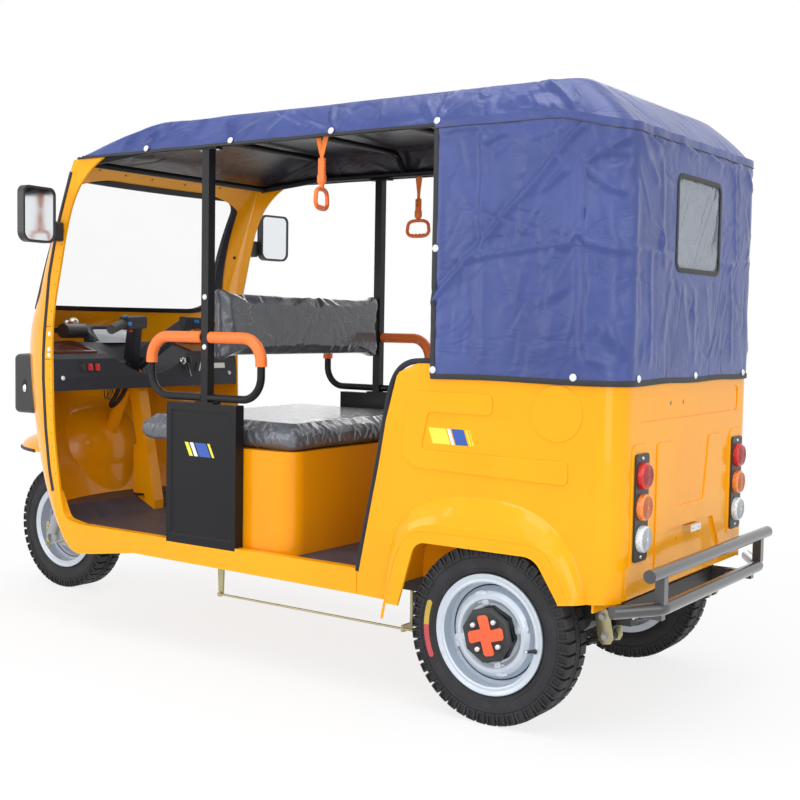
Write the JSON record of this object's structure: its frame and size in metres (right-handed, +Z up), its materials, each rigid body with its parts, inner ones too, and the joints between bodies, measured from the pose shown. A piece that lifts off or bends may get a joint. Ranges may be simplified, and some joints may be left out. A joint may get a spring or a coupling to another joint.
{
  "type": "auto rickshaw",
  "caption": "Electric passenger three-wheeler with an open cab, bench seat and fabric roof; one steered front wheel under a domed cowl and two rear wheels.",
  "frame": {"origin": "on the ground, midway along the overall length, in the vehicle's middle plane", "axes": "+Y is the rear, -Y the nose, +X the vehicle's left side, +Z up"},
  "size_m": [1.3758, 2.9949, 1.747],
  "materials": {
    "tyre_rubber": "matt",
    "rim_paint": "satin",
    "black_steel": "satin",
    "zinc_steel": "satin",
    "yellow_paint": "gloss",
    "black_plastic": "matt",
    "grey_plastic": "satin",
    "grip_rubber": "matt",
    "seal_rubber": "matt",
    "screen_glass": "gloss",
    "lamp_glass": "gloss",
    "brown_plastic": "satin",
    "floor_mat": "matt",
    "battery_case": "matt",
    "seat_leather": "satin",
    "orange_foam": "matt",
    "orange_webbing": "matt",
    "red_lens": "gloss",
    "chrome_trim": "gloss",
    "bumper_paint": "satin",
    "blue_canvas": "matt",
    "clear_film": "gloss",
    "mirror_face": "gloss"
  },
  "bodies": {
    "body": {"steering_head": "yellow_paint", "front_cowl": "yellow_paint", "wheel_well": "yellow_paint", "windscreen_frame": "yellow_paint", "windscreen_seal": "seal_rubber", "windscreen_glass": "screen_glass", "front_mudguard": "yellow_paint", "headlamp_housings": "black_plastic", "headlamp_lenses": "lamp_glass", "dashboard": "grey_plastic", "dash_trays": "brown_plastic", "display_pod": "grey_plastic", "wiper_motor": "black_plastic", "floor_pan": "yellow_paint", "floor_mat": "floor_mat", "side_sills": "yellow_paint", "chassis": "yellow_paint", "leaf_springs": "black_steel", "rear_axle": "black_steel", "brake_linkage": "zinc_steel", "side_boxes": "black_steel", "seat_base": "yellow_paint", "battery_block": "battery_case", "seat_cushion": "seat_leather", "backrest": "seat_leather", "pillars": "black_steel", "armrest_hoops": "black_steel", "armrest_covers": "orange_foam", "side_panel_left": "yellow_paint", "side_panel_right": "yellow_paint", "rear_panel": "yellow_paint", "wheel_housings": "yellow_paint", "lamp_plates": "black_plastic", "tail_lamps": "red_lens", "plate_lamp": "chrome_trim", "bumper": "bumper_paint", "canopy_roof": "blue_canvas", "canopy_curtain": "blue_canvas", "rear_window": "clear_film", "roof_frame": "black_steel", "mirrors": "black_plastic", "mirror_glass": "mirror_face", "grab_straps": "orange_webbing", "bench_base": "yellow_paint", "bench_cushion": "seat_leather", "bench_back": "seat_leather"},
    "steering": {"fork": "black_steel", "front_brake_plate": "zinc_steel", "handlebar": "grey_plastic", "grips": "grip_rubber"},
    "front_wheel": {"tyre_front": "tyre_rubber", "rim_front": "rim_paint", "hub_front": "zinc_steel"},
    "rear_wheel_left": {"tyre_left": "tyre_rubber", "rim_left": "rim_paint", "hub_left": "black_steel"},
    "rear_wheel_right": {"tyre_right": "tyre_rubber", "rim_right": "rim_paint", "hub_right": "black_steel"}
  },
  "joints": [
    {"name": "steering_turn", "type": "hinge", "parent": "body", "child": "steering", "pos_m": [0, -1.21578, 0.23521], "axis": [0, 0.4226, 0.9063], "range_deg": [-38, 38]},
    {"name": "front_wheel_spin", "type": "hinge", "parent": "steering", "child": "front_wheel", "pos_m": [0, -1.2475, 0.25], "axis": [1, 0, 0], "continuous": true},
    {"name": "rear_left_spin", "type": "hinge", "parent": "body", "child": "rear_wheel_left", "pos_m": [0.4445, 1.0275, 0.25], "axis": [1, 0, 0], "continuous": true},
    {"name": "rear_right_spin", "type": "hinge", "parent": "body", "child": "rear_wheel_right", "pos_m": [-0.4445, 1.0275, 0.25], "axis": [1, 0, 0], "continuous": true}
  ]
}
